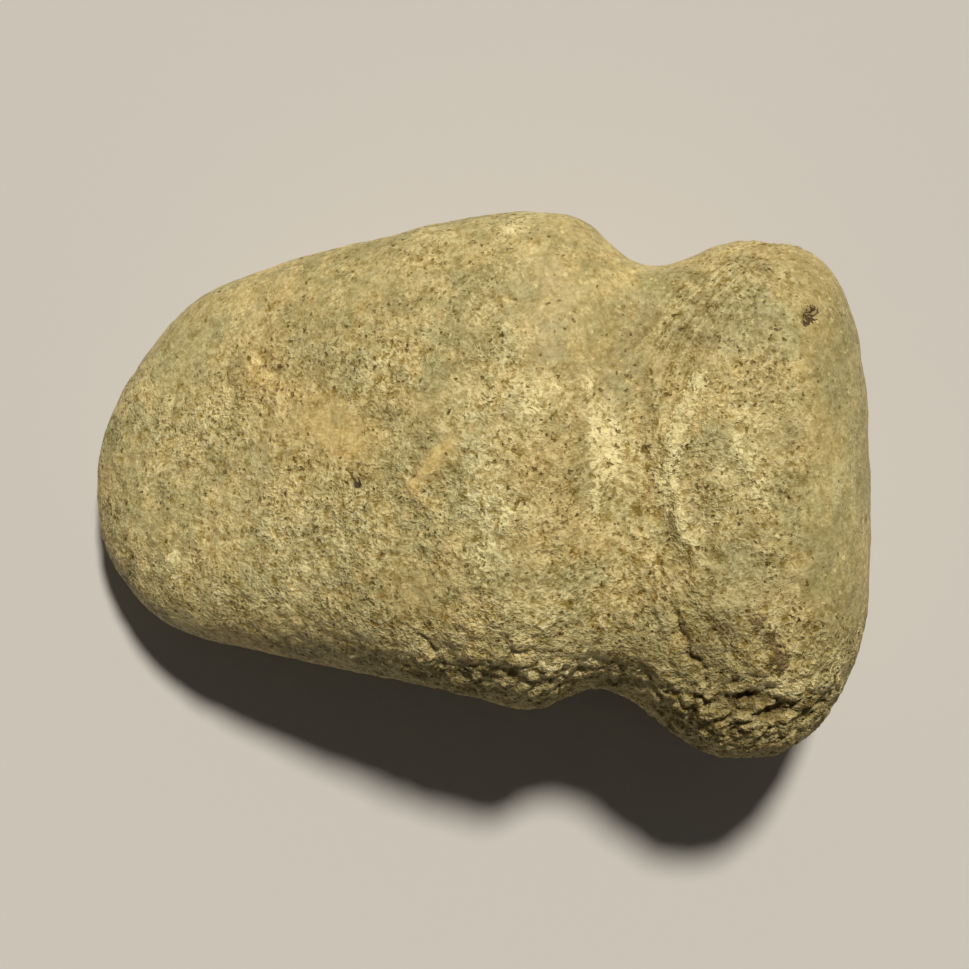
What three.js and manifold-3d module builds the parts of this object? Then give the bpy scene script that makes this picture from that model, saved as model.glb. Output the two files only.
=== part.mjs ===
// Full-grooved stone axe head: one cobble, pecked to shape and ground, lying on its flatter face.
// Millimetres. +X runs from the bit to the poll, +Y across to the back edge, +Z up.
// z = 0 is the surface that the head lies on, and x = y = 0 is the middle of its box.

import * as THREE from 'three';
import * as BufferGeometryUtils from 'three/addons/utils/BufferGeometryUtils.js';
import Module from 'manifold-3d';

// Overall size
const LENGTH = 140;
const TIP = LENGTH / 2;

// Fineness of the skin
const RINGS = 62;
const RING_POINTS = 78;

// The spine that the rings are strung on crosses from the back side at the bit to the front side at the poll.
const SPINE_DRIFT = -0.048;

// Outline from above before the groove is cut: place along the head, then reach from the x axis.
const BACK_EDGE = [
  [-46, 37.9], [-30, 42.5], [-10, 46.1], [8, 49.1],
  [19, 48.2], [38, 44.6], [52, 43.6], [66, 42.6],
];
const FRONT_EDGE = [
  [-46, 27.4], [-24, 31.9], [-4, 35.8], [6, 38.4],
  [20, 41.2], [34, 44.4], [44, 47.4], [66, 47.9],
];

// Side profile before the groove is cut: place along the head, then height above the surface.
const CROWN = [[-62, 19], [-45, 29.5], [-25, 40.5], [-6, 48], [10, 51], [30, 50.5], [50, 49], [64, 47]];
const SOLE = [[-62, 2.2], [-46, 0.8], [-24, -0.6], [8, -0.8], [34, -1], [50, -1], [64, 0.4]];
const WIDEST = [[-70, 8.5], [-60, 10.5], [-45, 14.5], [-15, 22.5], [20, 24.5], [70, 24]];

// Each end closes in four quarters: where its rounding starts, and how square it is.
const BIT = {
  back: { starts: -46, squareness: 1.8 },
  front: { starts: -46, squareness: 2.3 },
  crown: { starts: -59, squareness: 2.0 },
  sole: { starts: -59, squareness: 2.0 },
};
const POLL = {
  back: { starts: 52, squareness: 3.1 },
  front: { starts: 44, squareness: 2.5 },
  crown: { starts: 50, squareness: 2.1 },
  sole: { starts: 50, squareness: 2.1 },
};

// How square each part of a cross-section is, above and below its widest line; 2 is an ellipse.
const BACK_CROWN_SQUARENESS = 2.45;
const FRONT_CROWN_SQUARENESS = 2.95;
const SOLE_SQUARENESS = 2.6;

// The hafting groove runs all the way round. Its middle leans and bows across the head.
const GROOVE = {
  x: 23.5,
  lean: 0.076,
  bow: 0.0015,
  backDepth: 7.0,
  frontDepth: 6.8,
  faceDepth: 3.6,
  bitSide: 14,
  pollSide: 18,
};

// Broad hollows and swells of the upper face: place, half-width along and across, height, turn in degrees.
const SWELLS = {
  bodyCrest: { x: 6, y: -4, along: 12, across: 26, rise: 0.8, turn: 8 },
  backValley: { x: 27, y: 27, along: 7, across: 14, rise: -1.6, turn: -20 },
  pollKnob: { x: 50, y: 18, along: 16, across: 20, rise: 0.5, turn: 0 },
  pollHollow: { x: 39, y: -2, along: 8, across: 16, rise: -1.2, turn: 0 },
  frontStep: { x: 44, y: -36, along: 20, across: 6, rise: -1.4, turn: -22 },
};

// Depth of the slab that the resting spots are cut with
const SLAB_DEPTH = 10;

function clamp01(value) {
  return Math.min(1, Math.max(0, value));
}

// A smooth line through its stations, read by place along the head.
function lineThrough(stations) {
  const curve = new THREE.SplineCurve(stations.map(([x, value]) => new THREE.Vector2(x, value)));
  const first = stations[0];
  const last = stations[stations.length - 1];
  return (x) => {
    if (x <= first[0]) return runOn(curve.getTangent(0), first, x);
    if (x >= last[0]) return runOn(curve.getTangent(1), last, x);
    let low = 0;
    let high = 1;
    for (let step = 0; step < 30; step += 1) {
      const middle = (low + high) / 2;
      if (curve.getPoint(middle).x < x) low = middle;
      else high = middle;
    }
    return curve.getPoint(low).y;
  };
}

// Past its last station a line runs on straight.
function runOn(tangent, station, x) {
  return station[1] + (tangent.y / tangent.x) * (x - station[0]);
}

// How far a quarter of the ring at x has closed towards its end: 1 in the body, 0 at the tip.
function closing(x, quarter) {
  const tip = Math.sign(quarter.starts) * TIP;
  const past = clamp01((x - quarter.starts) / (tip - quarter.starts));
  return (1 - past ** quarter.squareness) ** (1 / quarter.squareness);
}

const backEdge = lineThrough(BACK_EDGE);
const frontEdge = lineThrough(FRONT_EDGE);
const crown = lineThrough(CROWN);
const sole = lineThrough(SOLE);
const widest = lineThrough(WIDEST);

// Reach of a ring from its middle towards each quarter
function quarterReaches(x, middle) {
  const full = {
    back: backEdge(x) - middle.y,
    front: frontEdge(x) + middle.y,
    crown: crown(x) - middle.z,
    sole: middle.z - sole(x),
  };
  const reaches = {};
  for (const [name, reach] of Object.entries(full)) {
    reaches[name] = reach * closing(x, BIT[name]) * closing(x, POLL[name]);
  }
  return reaches;
}

function grooveDepth(point, across) {
  const centre = GROOVE.x + GROOVE.lean * point.y + GROOVE.bow * point.y ** 2;
  const off = point.x - centre;
  const reach = off < 0 ? GROOVE.bitSide : GROOVE.pollSide;
  const share = (1 + Math.cos(Math.PI * clamp01(Math.abs(off) / reach))) / 2;
  const edgeDepth = across > 0 ? GROOVE.backDepth : GROOVE.frontDepth;
  return share * THREE.MathUtils.lerp(GROOVE.faceDepth, edgeDepth, Math.abs(across) ** 3);
}

function swellHeight(point) {
  let height = 0;
  for (const swell of Object.values(SWELLS)) {
    const turn = THREE.MathUtils.degToRad(swell.turn);
    const dx = point.x - swell.x;
    const dy = point.y - swell.y;
    const along = (dx * Math.cos(turn) + dy * Math.sin(turn)) / swell.along;
    const across = (dy * Math.cos(turn) - dx * Math.sin(turn)) / swell.across;
    height += swell.rise * Math.exp(-(along ** 2) - across ** 2);
  }
  return height;
}

function rounded(share, squareness) {
  return Math.sign(share) * Math.abs(share) ** (2 / squareness);
}

function skinPoint(x, angle) {
  const middle = new THREE.Vector3(x, SPINE_DRIFT * x, widest(x));
  const reach = quarterReaches(x, middle);
  const across = Math.cos(angle);
  const up = Math.sin(angle);
  const crownSquareness = across > 0 ? BACK_CROWN_SQUARENESS : FRONT_CROWN_SQUARENESS;
  const squareness = up > 0 ? crownSquareness : SOLE_SQUARENESS;
  const out = new THREE.Vector3(
    0,
    (across > 0 ? reach.back : reach.front) * rounded(across, squareness),
    (up > 0 ? reach.crown : reach.sole) * rounded(up, squareness),
  );
  const point = middle.clone().add(out);
  const swell = up > 0 ? up * swellHeight(point) : 0;
  const carved = grooveDepth(point, across) - swell;
  const radius = out.length();
  return middle.addScaledVector(out, (radius - Math.min(carved, radius / 2)) / radius);
}

function axeSkin() {
  const positions = [-TIP, -TIP * SPINE_DRIFT, widest(-TIP)];
  for (let ring = 1; ring < RINGS; ring += 1) {
    const x = -TIP * Math.cos((Math.PI * ring) / RINGS);
    for (let i = 0; i < RING_POINTS; i += 1) {
      positions.push(...skinPoint(x, (2 * Math.PI * i) / RING_POINTS).toArray());
    }
  }
  positions.push(TIP, TIP * SPINE_DRIFT, widest(TIP));
  const last = positions.length / 3 - 1;
  const corner = (ring, i) => 1 + (ring - 1) * RING_POINTS + (i % RING_POINTS);
  const faces = [];
  for (let i = 0; i < RING_POINTS; i += 1) {
    faces.push(0, corner(1, i + 1), corner(1, i));
    faces.push(last, corner(RINGS - 1, i), corner(RINGS - 1, i + 1));
    for (let ring = 1; ring < RINGS - 1; ring += 1) {
      faces.push(corner(ring, i), corner(ring, i + 1), corner(ring + 1, i + 1));
      faces.push(corner(ring, i), corner(ring + 1, i + 1), corner(ring + 1, i));
    }
  }
  const geometry = new THREE.BufferGeometry();
  geometry.setAttribute('position', new THREE.Float32BufferAttribute(positions, 3));
  geometry.setIndex(faces);
  return geometry;
}

const wasm = await Module();
wasm.setup();

function toSolid(geometry) {
  const bare = geometry.clone();
  bare.deleteAttribute('normal');
  bare.deleteAttribute('uv');
  const merged = BufferGeometryUtils.mergeVertices(bare);
  return new wasm.Manifold(new wasm.Mesh({
    numProp: 3,
    vertProperties: merged.attributes.position.array,
    triVerts: Uint32Array.from(merged.index.array),
  }));
}

function toGeometry(solid) {
  const mesh = solid.getMesh();
  const geometry = new THREE.BufferGeometry();
  geometry.setAttribute('position', new THREE.BufferAttribute(mesh.vertProperties, 3));
  geometry.setIndex(new THREE.BufferAttribute(mesh.triVerts, 1));
  geometry.computeVertexNormals();
  return geometry;
}

// Cuts the belly and the poll back to one level, which leaves the two spots that the head rests on.
function cutLevel(geometry) {
  const slab = new THREE.BoxGeometry(2 * LENGTH, 2 * LENGTH, SLAB_DEPTH);
  slab.translate(0, 0, -SLAB_DEPTH / 2);
  return toGeometry(toSolid(geometry).subtract(toSolid(slab)));
}

// Moves the middle of the box across the head to y = 0; along it and up, it is in place already.
function centreAcross(geometry) {
  geometry.computeBoundingBox();
  const middle = geometry.boundingBox.getCenter(new THREE.Vector3());
  return geometry.translate(0, -middle.y, 0);
}

const stone = new THREE.MeshStandardMaterial({ color: 0xad9a66, roughness: 0.72, metalness: 0 });

const axeHead = new THREE.Mesh(centreAcross(cutLevel(axeSkin())), stone);
axeHead.name = 'axe_head';

const axe = new THREE.Group();
axe.add(axeHead);

export default axe;
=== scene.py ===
import math

import bmesh
import bpy
import numpy as np
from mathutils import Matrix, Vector, noise


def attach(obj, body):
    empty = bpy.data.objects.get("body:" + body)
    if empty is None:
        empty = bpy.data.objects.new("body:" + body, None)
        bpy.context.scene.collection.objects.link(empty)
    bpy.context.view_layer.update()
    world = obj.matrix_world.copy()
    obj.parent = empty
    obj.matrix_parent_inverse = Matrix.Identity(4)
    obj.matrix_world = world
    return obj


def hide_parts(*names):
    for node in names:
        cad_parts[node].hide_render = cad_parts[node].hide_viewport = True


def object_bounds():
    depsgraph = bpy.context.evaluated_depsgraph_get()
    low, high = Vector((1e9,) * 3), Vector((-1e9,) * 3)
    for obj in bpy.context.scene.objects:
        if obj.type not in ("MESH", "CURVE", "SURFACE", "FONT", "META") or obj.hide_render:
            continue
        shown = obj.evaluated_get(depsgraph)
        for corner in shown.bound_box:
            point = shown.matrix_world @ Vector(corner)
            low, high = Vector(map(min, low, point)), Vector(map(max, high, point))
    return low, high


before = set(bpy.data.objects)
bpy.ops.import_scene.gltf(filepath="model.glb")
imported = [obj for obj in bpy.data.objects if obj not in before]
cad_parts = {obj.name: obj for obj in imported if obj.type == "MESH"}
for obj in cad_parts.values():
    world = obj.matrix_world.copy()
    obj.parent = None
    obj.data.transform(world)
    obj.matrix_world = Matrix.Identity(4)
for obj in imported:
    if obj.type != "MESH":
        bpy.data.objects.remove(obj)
CAD_LOW, CAD_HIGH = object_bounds()

# A grooved stone axe head, lying on its flatter face. Shapes are worked out in millimetres on the head:
# x runs from the bit to the poll, y across to the back edge, z up from the surface that it lies on.
MM = 0.001
MM_PER_METRE = 1 / MM
GRID = 0.655             # spacing of the carved mesh
SAME_PLACE = 0.01        # corners closer than this are one
SETTLING_ROUNDS = 12     # rounds of smoothing that take the steps off the grid
LINES_AT = 28            # where the grinding lines are plainest, along the head
LINES_REACH = 7
LINE_BOW = 0.014         # how strongly they bow round the groove, per millimetre
NOISE_SEED = 7
noise.seed_set(NOISE_SEED)


# ---------------------------------------------------------------- helpers on arrays of points

FALL_OFF = 1.0           # how quickly noise weakens from one octave to the next
OCTAVE_STEP = 2.0
CELL_STRETCH = 7.31      # puts each scattered point in a cell of its own, for its number


def fbm(points, wave, octaves=3, shift=0.0, squash=(1, 1, 1)):
    """Smooth noise of about -1 to 1 with features of one wave's length, for every point."""
    scaled = points * (np.array(squash) / wave) + shift
    return np.array([noise.fractal(p, FALL_OFF, OCTAVE_STEP, octaves) for p in scaled])


def cells(points, size, shift=0.0):
    """Distance to the nearest scattered point, as a share of the cell size, and that cell's own number."""
    scaled = points / size + shift
    near = np.empty(len(points))
    own = np.empty(len(points))
    for i, p in enumerate(scaled):
        distances, centres = noise.voronoi(p)
        near[i] = distances[0]
        own[i] = noise.cell(centres[0] * CELL_STRETCH)
    return near, own


def smooth(low, high, value):
    """0 up to low and 1 from high on, with a smooth rise between; low may be the larger of the two."""
    t = np.clip((value - low) / (high - low), 0, 1)
    return t * t * (3 - 2 * t)


def spot(points, x, y, reach_x, reach_y, turn=0.0):
    """1 at a place seen from above, fading out over its reaches, with its long way turned by some degrees."""
    c, s = math.cos(math.radians(turn)), math.sin(math.radians(turn))
    dx, dy = points[:, 0] - x, points[:, 1] - y
    along = (dx * c + dy * s) / reach_x
    across = (dy * c - dx * s) / reach_y
    return np.exp(-along ** 2 - across ** 2)


def trace(points, route):
    """Distance of every point from a route seen from above, left of it positive, and the share along it."""
    best = np.full(len(points), np.inf)
    share = np.zeros(len(points))
    flat = points[:, :2]
    for i in range(len(route) - 1):
        a, b = np.array(route[i], float), np.array(route[i + 1], float)
        run = b - a
        t = np.clip(((flat - a) @ run) / (run @ run), 0, 1)
        away = flat - a - t[:, None] * run
        d = np.linalg.norm(away, axis=1)
        closer = d < np.abs(best)
        left = np.where(run[0] * away[:, 1] - run[1] * away[:, 0] >= 0, 1, -1)
        best[closer] = (d * left)[closer]
        share[closer] = ((i + t) / (len(route) - 1))[closer]
    return best, share


def crease(points, route, width, wander=0.5):
    """1 along the middle of a route that wanders a little, thinning to nothing at both its ends."""
    away, share = trace(points, route)
    away = away + wander * fbm(points, 2.6, 2, 12.0)
    taper = smooth(0.0, 0.22, share) * (1 - smooth(0.78, 1.0, share))
    return np.exp(-(away / width) ** 2) * taper


# ---------------------------------------------------------------- the stone's body

def blank():
    """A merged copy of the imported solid, rounded off and turned into even quads small enough to carve."""
    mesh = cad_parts["axe_head"].data.copy()
    bm = bmesh.new()
    bm.from_mesh(mesh)
    bmesh.ops.remove_doubles(bm, verts=bm.verts, dist=SAME_PLACE * MM)
    bmesh.ops.join_triangles(bm, faces=bm.faces, angle_face_threshold=0.6, angle_shape_threshold=1.0)
    bm.to_mesh(mesh)
    bm.free()
    mesh.materials.clear()
    stone = bpy.data.objects.new("ground_stone", mesh)
    bpy.context.scene.collection.objects.link(stone)
    rounding = stone.modifiers.new("rounding", "SUBSURF")
    rounding.levels = rounding.render_levels = 1
    grid = stone.modifiers.new("grid", "REMESH")
    grid.mode = "VOXEL"
    grid.voxel_size = GRID * MM
    settled = bpy.data.meshes.new_from_object(stone.evaluated_get(bpy.context.evaluated_depsgraph_get()))
    stone.modifiers.clear()
    stone.data = settled
    bm = bmesh.new()
    bm.from_mesh(settled)
    every_way = {"use_axis_x": True, "use_axis_y": True, "use_axis_z": True}
    for _ in range(SETTLING_ROUNDS):
        bmesh.ops.smooth_vert(bm, verts=bm.verts, factor=0.5, **every_way)
    bm.to_mesh(settled)
    bm.free()
    return stone


def read_points(mesh):
    co = np.empty(len(mesh.vertices) * 3)
    mesh.vertices.foreach_get("co", co)
    return co.reshape(-1, 3) / MM


def write_points(mesh, points):
    mesh.vertices.foreach_set("co", (points * MM).ravel())
    mesh.update()


def read_normals(mesh):
    n = np.empty(len(mesh.vertices) * 3)
    mesh.vertices.foreach_get("normal", n)
    return n.reshape(-1, 3)


def store_mask(mesh, name, values):
    layer = mesh.attributes.new(name, "FLOAT", "POINT")
    layer.data.foreach_set("value", np.clip(values, 0, 1).astype(np.float32))


def fit_to_box(points):
    """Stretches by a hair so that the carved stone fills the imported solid's box again, and rests level."""
    low, high = np.array(CAD_LOW) / MM, np.array(CAD_HIGH) / MM
    now_low, now_high = points.min(0), points.max(0)
    return low + (points - now_low) * (high - low) / (now_high - now_low)


# ---------------------------------------------------------------- marks that have their own places

# Routes on the upper side that the relief and the colours follow, from the bit end or the back edge on
BODY_STREAK = [(-11.6, -4.4), (-8.4, -1.4), (-5.4, 2.2), (-1.6, 6.0)]
BODY_STREAK_FOOT = [(-9.6, -3.6), (-7.4, -5.8), (-4.6, -7.2)]
BODY_CRACK = [(-9.8, -26.4), (-7.3, -27.9), (-5.6, -31.6)]
CREST_BAND = [(-5.0, 3.0), (-1.0, 9.5), (6.0, 13.0), (15.0, 14.8)]
BACK_BAND = [(3.6, 44.5), (8.0, 39.5), (12.6, 34.2)]
SHOULDER = [(18.4, 18.6), (20.2, 9.0), (21.0, 0.0), (19.8, -13.0)]
BACK_VALLEY = [(32.0, 30.0), (27.4, 23.6), (23.4, 16.6)]
VALLEY_CRACK = [(29.9, 25.3), (28.2, 22.8), (26.4, 20.0)]
VALLEY_SCRATCH = [(35.6, 33.4), (32.4, 29.0), (29.8, 25.2)]
GROOVE_SCRATCH = [(33.0, 27.0), (31.2, 23.0), (28.6, 17.4), (27.4, 12.6)]
OUTER_ARC = [(28.0, 21.0), (28.3, 14.0), (28.8, 7.0), (29.3, 0.0), (30.9, -6.5), (33.2, -14.5), (36.4, -22.0)]
OUTER_SCRATCH = [(28.6, -2.0), (28.9, -9.0), (30.2, -16.0), (31.6, -22.0)]
POLL_STREAK = [(32.8, -0.5), (33.6, 4.8), (34.9, 10.0), (36.9, 13.6), (38.8, 17.6)]
POLL_RIM = [(34.2, 9.1), (32.9, 4.2), (32.7, -1.6), (33.8, -6.6), (35.6, -12.3), (38.6, -18.0)]
POLL_ARC = [(35.6, 5.4), (36.9, 0.0), (37.0, -5.0), (37.9, -9.9), (39.8, -14.8), (42.6, -19.0)]
POLL_CRACK = [(31.6, -18.2), (32.6, -22.5), (34.6, -27.6), (36.2, -31.0), (39.0, -33.4)]
POLL_CRACK_LIP = [(30.2, -20.0), (31.0, -24.4), (33.0, -29.4), (36.0, -34.4)]
INNER_RIM = [(42.4, 6.2), (43.4, 3.4), (45.4, 0.2), (47.3, -4.4), (47.6, -8.0)]
CRESCENT = [(44.6, -22.4), (48.0, -26.2), (50.6, -30.6), (50.4, -34.6)]
CORNER_STEP = [(36.0, -36.8), (40.5, -40.8), (46.0, -44.2)]
CORNER_STEP_BESIDE = [(52.0, -43.2), (57.5, -39.8), (62.5, -33.0)]

# Places that the relief and the colours share
BIT_CRUMB = (-53.0, -14.0)
BODY_PIT = (-19.3, -1.6)
CREST_PITS = (9.2, 13.2)
BACK_PIT = (56.4, 26.2)
BACK_PIT_BESIDE = (57.7, 27.2)
CORNER_HOLE = (45.2, -37.6)
CORNER_HOLE_BESIDE = (50.4, -40.0)


# ---------------------------------------------------------------- relief

def roughness_of(points):
    """0 where the stone was ground smooth, 1 where it is still as pecked or broken."""
    x, y, _ = points.T
    rough = 0.37 + 0.04 * smooth(28, 48, x) + 0.14 * spot(points, -6, -6, 34, 14)
    # rougher along the front side, at the poll's front corner and on the groove's poll side
    rough += 0.45 * smooth(-16, -31, y) * smooth(-44, 0, x)
    rough += 0.35 * spot(points, 47, -42, 20, 8)
    rough += 0.3 * spot(points, 6, -34, 14, 6)
    rough += 0.2 * spot(points, 36, -12, 6, 22)
    # smoother in the back notch, along the bit's back edge, towards the back and at the poll's end
    rough -= 0.50 * spot(points, 21, 33, 10, 11) + 0.25 * spot(points, 16, 24, 8, 8)
    rough -= 0.25 * spot(points, -50, 27, 16, 6, 38) + 0.15 * spot(points, 57, -8, 6, 20)
    wavy = y + 8 * fbm(points, 14, 2, 55.0)
    rough -= 0.12 * smooth(10, 40, y) + 0.32 * smooth(52, 60, x) * smooth(-40, -18, wavy)
    # small smoother places on the body and the poll
    rough -= 0.12 * spot(points, 30, -27, 10, 7) + 0.12 * spot(points, 49, -24, 12, 9)
    rough -= 0.40 * spot(points, -24, 8, 7, 5, -20) + 0.2 * spot(points, -8, -21, 8, 4)
    rough -= 0.35 * crease(points, BODY_STREAK, 1.6)
    return np.clip(rough + 0.19 * fbm(points, 12, 3, 3.0), 0.06, 1.2)


def rock_beds(points):
    """The points again, with z measured up through the rock's thin beds, which lie nearly level but wavy."""
    x, y, z = points.T
    beds = points.copy()
    beds[:, 2] = z + 0.07 * x - 0.05 * y + 1.4 * fbm(points, 18, 2, 8.0) + 0.35 * fbm(points, 5, 2, 6.0)
    return beds


def laminae(beds, side):
    """Bands where the surface cuts across the beds at a slant: the gentler the slope, the wider."""
    total = np.zeros(len(beds))
    for wave in (2.8, 1.4, 0.7, 0.35):
        band = np.clip(wave / np.maximum(side, 0.02), 0, 5)
        carried = smooth(1.0, 1.8, band) * band
        total += carried * fbm(beds, wave, 1, wave * 9, squash=(0.13, 0.13, 1))
    return total


def pecking(points, rough):
    """Overlapping dimples left by pecking, of three sizes, shallower where they were ground afterwards."""
    dimples = np.zeros(len(points))
    for size, depth, shift in ((4.6, 0.36, 11.0), (2.7, 0.34, 4.0), (1.7, 0.26, 17.0)):
        near, own = cells(points + 0.3 * size * fbm(points, size, 1, shift)[:, None], size, shift)
        dimples += depth * (0.2 + rough) * (1 - smooth(0.08, 0.50, near)) * smooth(0.35, 0.8, own)
    return dimples


def lumps(points, size, shift, squash):
    """Broken stone: -1 in the cracks between lumps of about one size, up to 0 on top of them."""
    pushed = points + 0.35 * size * fbm(points, 0.8 * size, 2, shift)[:, None]
    gap = np.empty(len(points))
    for i, p in enumerate(pushed * (np.array(squash) / size) + shift):
        distances = noise.voronoi(p)[0]
        gap[i] = distances[1] - distances[0]
    return smooth(0.0, 0.35, gap) - 1


def broken_stone(points, beds, rough, edge):
    """Lumps of two sizes where stone has broken away, most along the front side and at the poll's corner."""
    broken = 0.10 * rough + 0.8 * spot(points, 4, -34, 24, 5) + 1.1 * spot(points, 44, -40.5, 21, 7.5, 2)
    broken = np.clip(broken, 0, 1) * (1 - 0.5 * edge)
    large = 0.80 * broken * lumps(beds, 3.2, 23.0, (0.75, 0.9, 1.4))
    return large + 0.42 * broken * lumps(beds, 1.9, 33.0, (0.75, 0.9, 1.3))


def corner_ledges(points, beds, side):
    """Small ledges where the beds break off, at the poll's front corner and along the front side."""
    bed_thickness = 1.9
    corner = np.clip(1.3 * spot(points, 48, -40, 22, 11) + 0.25 * spot(points, 6, -37, 13, 7), 0, 1.3)
    step = beds[:, 2] / bed_thickness
    saw = step - np.floor(step)
    ledge = smooth(0.0, 0.22, saw) * (1 - smooth(0.5, 1.0, saw)) - 0.5
    return 0.45 * side * corner * ledge * smooth(-0.1, 0.5, fbm(points, 3.4, 1, 13.0))


def body_hollows(points):
    """Depth of the hollows, nicks and cracks of the body and bit, in millimetres."""
    deep = 0.6 * spot(points, -3.2, -1.8, 4.5, 2.2, 40)
    deep += 0.45 * spot(points, -24.0, 16.5, 6.0, 4.0, 10)
    deep += 0.45 * spot(points, -1.5, 21.0, 6.0, 3.5, -25)
    deep += 0.80 * spot(points, 13.8, -31.0, 3.8, 1.7, 10)
    deep += 0.8 * crease(points, BODY_CRACK, 0.45, 0.3)
    deep += 0.8 * spot(points, *BODY_PIT, 1.2, 1.0)
    deep += 0.8 * spot(points, 7.2, -10.2, 0.8, 1.3)
    deep += 0.8 * spot(points, 8.8, 14.0, 0.9, 0.6)
    deep += 0.7 * spot(points, 9.8, 12.4, 0.7, 0.6)
    deep += 0.6 * spot(points, 13.0, -14.0, 1.8, 0.5, 10)
    deep += 0.7 * spot(points, -36.5, 20.6, 1.4, 0.7, 50)
    deep += 0.7 * spot(points, -34.5, 18.0, 0.8, 0.7)
    deep += 0.6 * spot(points, -27.5, 19.5, 1.0, 0.7)
    return deep


def groove_hollows(points):
    """Depth of the valley at the groove's back and of the lines on its poll side, in millimetres."""
    deep = 0.8 * crease(points, BACK_VALLEY, 2.8)
    deep += 0.9 * crease(points, VALLEY_CRACK, 0.5, 0.2)
    deep += 0.6 * crease(points, VALLEY_SCRATCH, 0.6, 0.4)
    deep += 0.5 * crease(points, GROOVE_SCRATCH, 0.7, 0.5)
    deep += 0.8 * crease(points, OUTER_ARC, 1.7, 0.8)
    deep += 0.45 * crease(points, OUTER_SCRATCH, 0.6, 0.8)
    return deep


def poll_hollows(points):
    """Depth of the arc, crack, hollows and pits of the poll, in millimetres."""
    deep = 0.8 * crease(points, POLL_ARC, 1.1)
    deep += 0.8 * crease(points, POLL_CRACK, 0.50, 0.9)
    deep += 0.3 * spot(points, 37.4, 1.0, 6.0, 2.4, 97)
    deep += 0.55 * spot(points, 50.8, 5.5, 3.6, 2.8)
    deep += 0.40 * spot(points, 50.4, -36.0, 3.4, 1.4, 10)
    deep += 0.9 * spot(points, 41.0, -26.5, 5.0, 2.2, -40)
    deep += 1.7 * spot(points, *CORNER_HOLE, 2.4, 0.9, 4)
    deep += 1.7 * spot(points, *CORNER_HOLE_BESIDE, 2.8, 1.0, 12)
    deep += 0.7 * crease(points, CORNER_STEP, 0.6, 1.4)
    deep += 0.7 * crease(points, CORNER_STEP_BESIDE, 0.6, 1.4)
    deep += 1.5 * spot(points, *BACK_PIT, 1.7, 0.6, 68)
    deep += 1.1 * spot(points, *BACK_PIT_BESIDE, 1.0, 0.5, 80)
    return deep


def named_ridges(points):
    """Height of the ridges and lips that have their own places on the upper side, in millimetres."""
    high = 0.9 * crease(points, POLL_STREAK, 1.3, 0.6)
    high += 0.65 * crease(points, POLL_RIM, 1.2, 0.9)
    high += 0.9 * crease(points, BODY_STREAK, 1.0, 0.5)
    high += 0.5 * crease(points, BODY_STREAK_FOOT, 0.8, 0.5)
    high += 0.75 * crease(points, SHOULDER, 1.2, 0.8)
    high += 0.55 * crease(points, INNER_RIM, 1.1, 0.8)
    high += 0.5 * crease(points, POLL_CRACK_LIP, 1.0, 0.6)
    high += 0.6 * spot(points, 47.6, -33.0, 2.6, 2.0)
    high += 0.5 * spot(points, 53.0, -35.6, 4.0, 1.6, 8)
    high += 0.7 * spot(points, -7.6, -31.0, 3.0, 1.8, -35)
    high += 0.7 * spot(points, 15.5, -31.8, 3.6, 1.8, 25)
    high += 0.4 * spot(points, *BIT_CRUMB, 1.9, 1.3, 70)
    return high


def across_lines(points):
    """Distance across the grinding lines, which bow round the poll side of the groove."""
    return points[:, 0] - LINE_BOW * points[:, 1] ** 2


def lined(points):
    """How plainly the grinding lines show at every point: most where the groove runs out to both sides."""
    y = points[:, 1]
    band = np.exp(-((across_lines(points) - LINES_AT) / LINES_REACH) ** 2)
    return band * (0.45 + 0.55 * smooth(8, 22, y) + 0.30 * smooth(-8, -22, y)) * smooth(-38, -28, y)


def turned(points, degrees):
    """The points again, seen from above after a turn about the z axis."""
    turn = math.radians(degrees)
    x, y, _ = points.T
    about = points.copy()
    about[:, 0] = x * math.cos(turn) + y * math.sin(turn)
    about[:, 1] = y * math.cos(turn) - x * math.sin(turn)
    return about


def grinding_lines(points):
    """Fine ridges left by grinding, along the groove's poll side and on the front flank of the poll."""
    bowed = points.copy()
    bowed[:, 0] = across_lines(points)
    lines = lined(points) * fbm(bowed, 1.9, 2, 21.0, squash=(1, 0.14, 0.4))
    flank = 0.7 * spot(points, 56, -24, 8, 16, -20)
    return lines + flank * fbm(turned(points, 50), 1.9, 2, 21.0, squash=(0.16, 1, 0.4))


def carve(points, normals):
    """Relief height along the normal in millimetres, how deep in a hollow, which the finish darkens as
    painted shade, and how rough, at every point.
    """
    rough = roughness_of(points)
    side = np.sqrt(np.clip(1 - normals[:, 2] ** 2, 0, 1))
    z = points[:, 2]
    above = smooth(14, 24, z)

    # the steep lower flanks, where the relief is fainter
    edge = smooth(0.6, 1.0, side) * (1 - smooth(25, 38, z + 9 * fbm(points, 11, 3, 15.0)))
    broad = 0.40 * fbm(points, 27, 1, 1.7) + 0.52 * fbm(points, 13, 1, 5.1) + 0.34 * fbm(points, 7, 1, 2.2)

    beds = rock_beds(points)
    fine = (0.025 + 0.065 * rough) * laminae(beds, side)
    fine += corner_ledges(points, beds, side)
    fine += broken_stone(points, beds, rough, edge)
    fine -= pecking(points, rough)
    fine += 0.43 * above * grinding_lines(points)
    fine += (0.10 + 0.24 * rough) * fbm(points, 3.6, 1, 19.0)
    fine += (0.08 + 0.20 * rough) * fbm(points, 1.9, 2, 9.0)
    hollows = body_hollows(points) + groove_hollows(points) + poll_hollows(points)
    fine += above * (named_ridges(points) - hollows)
    # painted shade: how far a point lies down in a carved hollow, for the finish to darken
    shade_in_hollows = smooth(0.50, 1.9, -fine)
    return broad * (1 - 0.65 * edge) + fine * (1 - 0.3 * edge), shade_in_hollows, rough
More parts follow.
